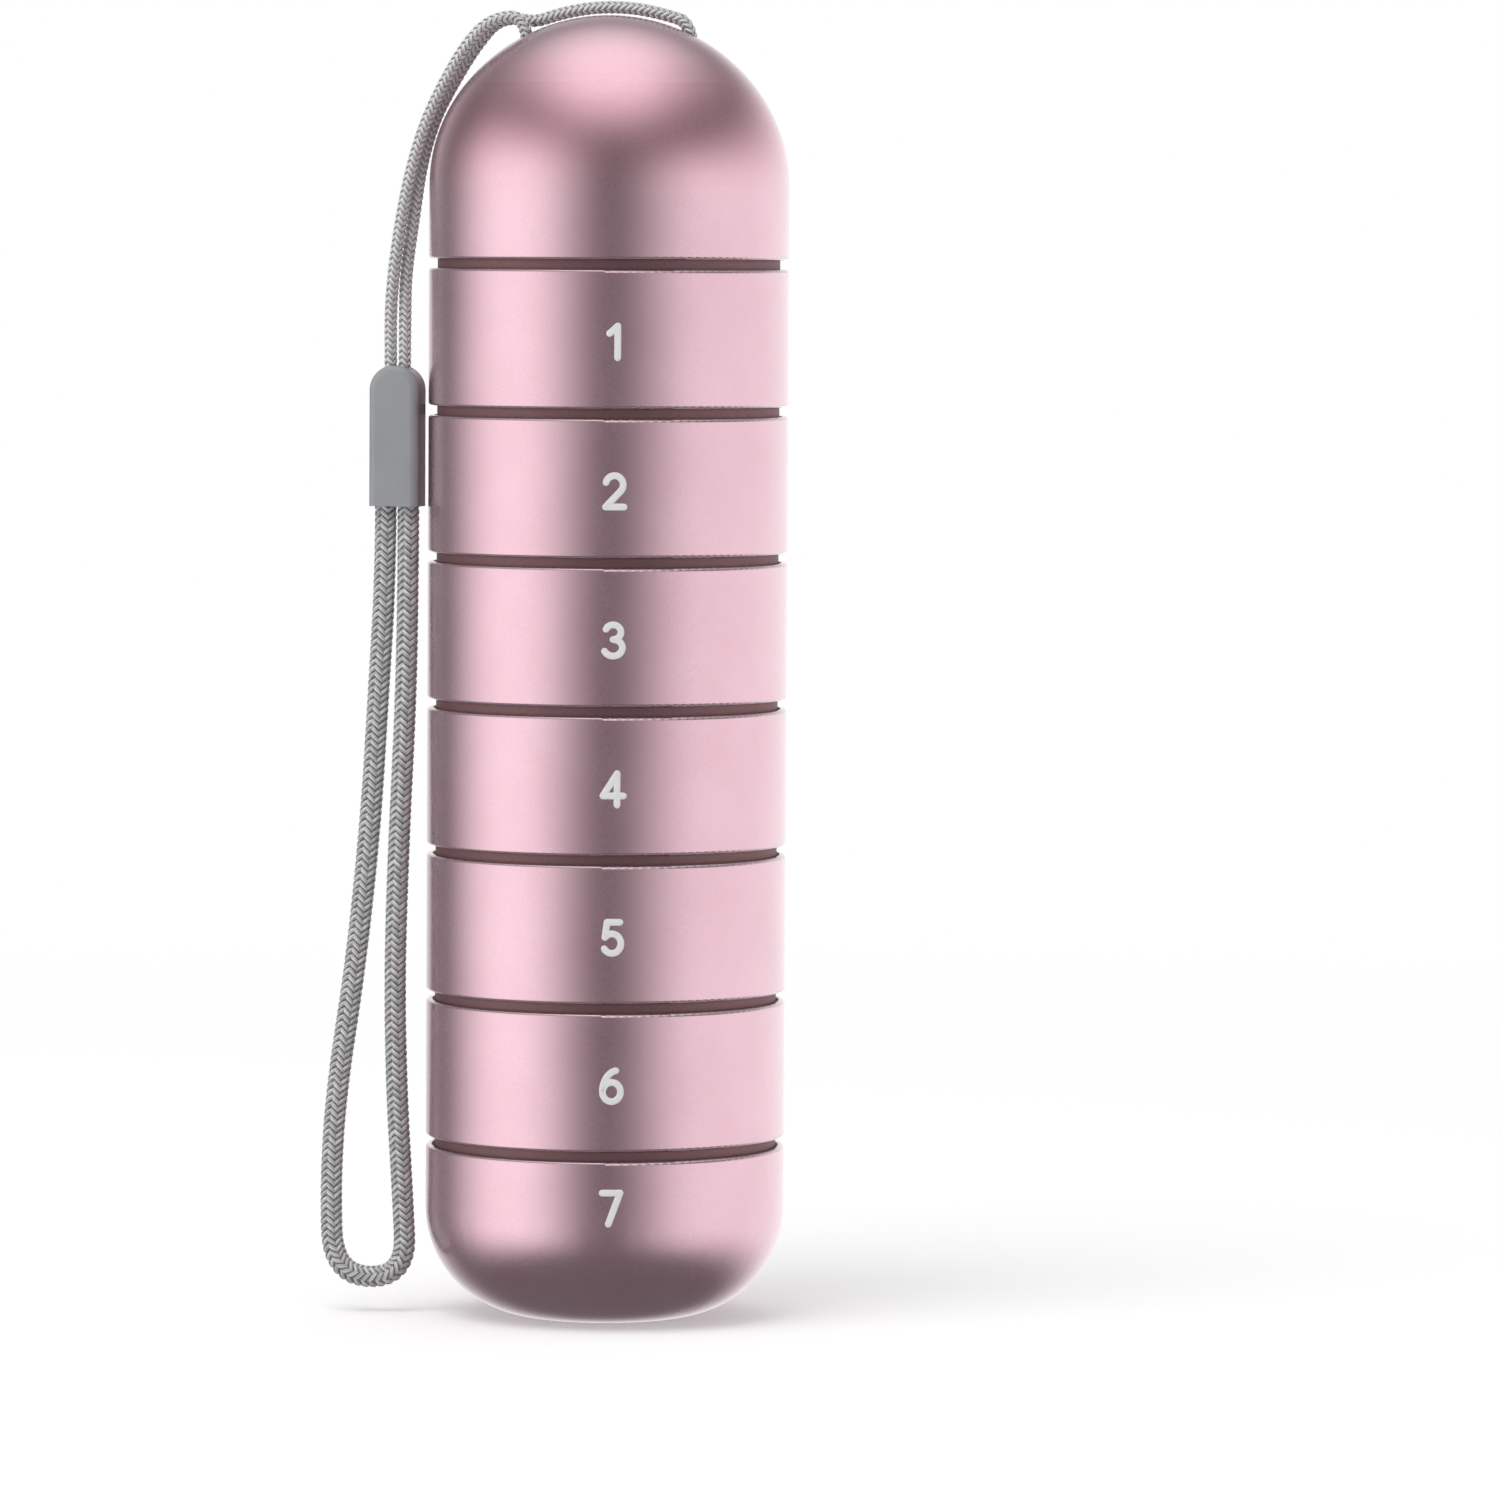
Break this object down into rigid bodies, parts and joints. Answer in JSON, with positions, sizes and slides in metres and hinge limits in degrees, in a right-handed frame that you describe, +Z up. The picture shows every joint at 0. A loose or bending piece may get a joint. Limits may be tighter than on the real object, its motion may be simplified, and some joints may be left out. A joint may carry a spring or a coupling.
{
  "type": "weekly pill box",
  "caption": "Tall round pill box: a column of screw-together day compartments in satin pink metal, with a domed cap, soft sealing rings and a braided wrist strap on its crown.",
  "frame": {"origin": "centre of the flat foot, on the table", "axes": "+Z up along the column's axis, -Y to the front where the day numbers are, strap on the -X side"},
  "size_m": [0.0583, 0.045, 0.1648],
  "materials": {
    "pink_metal": "bead-blasted, anodised pink",
    "silicone": "matt silicone",
    "liner_plastic": "satin",
    "sleeve_plastic": "smooth satin grey",
    "braid": "braided polyester"
  },
  "bodies": {
    "day_7_base": {"day_7_base": "pink_metal"},
    "day_6_seal": {"day_6_seal": "silicone"},
    "day_6_cup": {"day_6_cup": "pink_metal"},
    "day_5_seal": {"day_5_seal": "silicone"},
    "day_5_cup": {"day_5_cup": "pink_metal"},
    "day_4_seal": {"day_4_seal": "silicone"},
    "day_4_cup": {"day_4_cup": "pink_metal"},
    "day_3_seal": {"day_3_seal": "silicone"},
    "day_3_cup": {"day_3_cup": "pink_metal"},
    "day_2_seal": {"day_2_seal": "silicone"},
    "day_2_cup": {"day_2_cup": "pink_metal"},
    "day_1_seal": {"day_1_seal": "silicone"},
    "day_1_cup": {"day_1_cup": "pink_metal"},
    "cap_seal": {"cap_seal": "silicone"},
    "cap": {"cap_dome": "pink_metal", "cap_liner": "liner_plastic", "cap_string": "braid", "strap_sleeve": "sleeve_plastic", "wrist_loop": "braid"}
  },
  "joints": [
    {"name": "day_6_rise", "type": "slide", "parent": "day_7_base", "child": "day_6_seal", "axis": [0, 0, 1], "range_m": [0, 0.00465]},
    {"name": "day_6_turn", "type": "hinge", "parent": "day_6_seal", "child": "day_6_cup", "pos_m": [0, 0, 0], "axis": [0, 0, 1], "range_deg": [0, 2070]},
    {"name": "day_5_rise", "type": "slide", "parent": "day_6_cup", "child": "day_5_seal", "axis": [0, 0, 1], "range_m": [0, 0.00465]},
    {"name": "day_5_turn", "type": "hinge", "parent": "day_5_seal", "child": "day_5_cup", "pos_m": [0, 0, 0], "axis": [0, 0, 1], "range_deg": [0, 2070]},
    {"name": "day_4_rise", "type": "slide", "parent": "day_5_cup", "child": "day_4_seal", "axis": [0, 0, 1], "range_m": [0, 0.00465]},
    {"name": "day_4_turn", "type": "hinge", "parent": "day_4_seal", "child": "day_4_cup", "pos_m": [0, 0, 0], "axis": [0, 0, 1], "range_deg": [0, 2070]},
    {"name": "day_3_rise", "type": "slide", "parent": "day_4_cup", "child": "day_3_seal", "axis": [0, 0, 1], "range_m": [0, 0.00465]},
    {"name": "day_3_turn", "type": "hinge", "parent": "day_3_seal", "child": "day_3_cup", "pos_m": [0, 0, 0], "axis": [0, 0, 1], "range_deg": [0, 2070]},
    {"name": "day_2_rise", "type": "slide", "parent": "day_3_cup", "child": "day_2_seal", "axis": [0, 0, 1], "range_m": [0, 0.00465]},
    {"name": "day_2_turn", "type": "hinge", "parent": "day_2_seal", "child": "day_2_cup", "pos_m": [0, 0, 0], "axis": [0, 0, 1], "range_deg": [0, 2070]},
    {"name": "day_1_rise", "type": "slide", "parent": "day_2_cup", "child": "day_1_seal", "axis": [0, 0, 1], "range_m": [0, 0.00465]},
    {"name": "day_1_turn", "type": "hinge", "parent": "day_1_seal", "child": "day_1_cup", "pos_m": [0, 0, 0], "axis": [0, 0, 1], "range_deg": [0, 2070]},
    {"name": "cap_rise", "type": "slide", "parent": "day_1_cup", "child": "cap_seal", "axis": [0, 0, 1], "range_m": [0, 0.00465]},
    {"name": "cap_turn", "type": "hinge", "parent": "cap_seal", "child": "cap", "pos_m": [0, 0, 0], "axis": [0, 0, 1], "range_deg": [0, 2070]}
  ],
  "couplings": [
    {"joint": "day_6_rise", "follows": "day_6_turn", "m_per_rad": 0.00012732},
    {"joint": "day_5_rise", "follows": "day_5_turn", "m_per_rad": 0.00012732},
    {"joint": "day_4_rise", "follows": "day_4_turn", "m_per_rad": 0.00012732},
    {"joint": "day_3_rise", "follows": "day_3_turn", "m_per_rad": 0.00012732},
    {"joint": "day_2_rise", "follows": "day_2_turn", "m_per_rad": 0.00012732},
    {"joint": "day_1_rise", "follows": "day_1_turn", "m_per_rad": 0.00012732},
    {"joint": "cap_rise", "follows": "cap_turn", "m_per_rad": 0.00012732}
  ]
}
